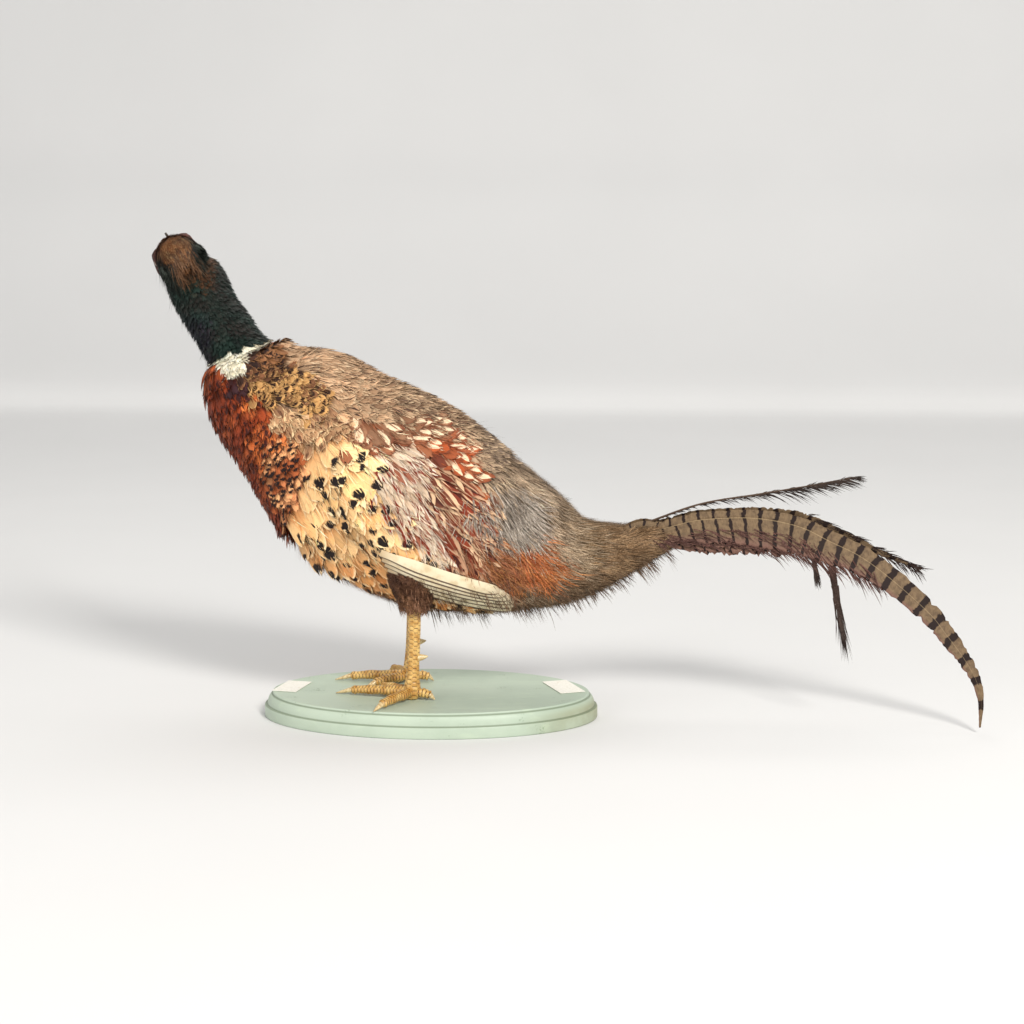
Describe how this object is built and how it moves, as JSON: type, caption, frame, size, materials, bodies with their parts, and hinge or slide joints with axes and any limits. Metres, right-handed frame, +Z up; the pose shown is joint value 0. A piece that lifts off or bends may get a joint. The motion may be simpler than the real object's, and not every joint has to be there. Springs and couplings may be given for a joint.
{
  "type": "taxidermy pheasant",
  "caption": "Mounted cock ring-necked pheasant standing with its head turned away over its back and a long barred drooping tail, on an oval pale green board.",
  "frame": {"origin": "centre of the oval board's flat underside", "axes": "+Z up, the bird faces -X with its tail along +X, its left side is -Y"},
  "size_m": [0.6594, 0.169, 0.3874],
  "materials": {
    "board_paint": "satin pale green paint, worn, over turned wood",
    "paper": "matt cream paper",
    "crown": "bronze-brown crown feathers",
    "face": "dried dull red-brown bare skin",
    "neck_green": "glossy green-black feathers",
    "copper": "coppery chestnut feathers with dark edges",
    "back_brown": "grey-brown and buff scaled feathers",
    "rump_olive": "hair-like olive-brown feathers",
    "wing": "pale grey and chestnut streaked coverts",
    "flight": "cream vanes with dark edges",
    "thigh": "short dark brown feathers",
    "tail_bar": "buff-olive vanes with dark bars",
    "tail_dark": "dark purple-brown loose barbs",
    "scale_gold": "dry gold-ochre scales",
    "horn": "pale horn",
    "eye_glass": "glossy dark amber glass"
  },
  "bodies": {
    "root": {"bill_lower": "horn", "bill_upper": "horn", "board": "board_paint", "breast": "copper", "claw_hind_left": "horn", "claw_hind_right": "horn", "claw_inner_left": "horn", "claw_inner_right": "horn", "claw_middle_left": "horn", "claw_middle_right": "horn", "claw_outer_left": "horn", "claw_outer_right": "horn", "ear_tuft_left": "neck_green", "ear_tuft_right": "neck_green", "eye_left": "eye_glass", "eye_right": "eye_glass", "flight_feathers_left": "flight", "flight_feathers_right": "flight", "head": "crown", "label_back": "paper", "label_front": "paper", "neck": "neck_green", "rump": "rump_olive", "shank_left": "scale_gold", "shank_right": "scale_gold", "spur_left": "horn", "spur_right": "horn", "tail_coverts": "rump_olive", "tail_feather_1_left": "tail_bar", "tail_feather_1_right": "tail_bar", "tail_feather_2_left": "tail_bar", "tail_feather_2_right": "tail_bar", "tail_feather_3_left": "tail_bar", "tail_feather_3_right": "tail_bar", "tail_feather_4_left": "tail_bar", "tail_feather_4_right": "tail_bar", "tail_feather_stray": "tail_dark", "tail_lock_1": "tail_dark", "tail_lock_2": "tail_dark", "thigh_left": "thigh", "thigh_right": "thigh", "toe_hind_left": "scale_gold", "toe_hind_right": "scale_gold", "toe_inner_left": "scale_gold", "toe_inner_right": "scale_gold", "toe_middle_left": "scale_gold", "toe_middle_right": "scale_gold", "toe_outer_left": "scale_gold", "toe_outer_right": "scale_gold", "trunk": "back_brown", "wattle_left": "face", "wattle_right": "face", "wing_left": "wing", "wing_right": "wing"}
  },
  "joints": []
}
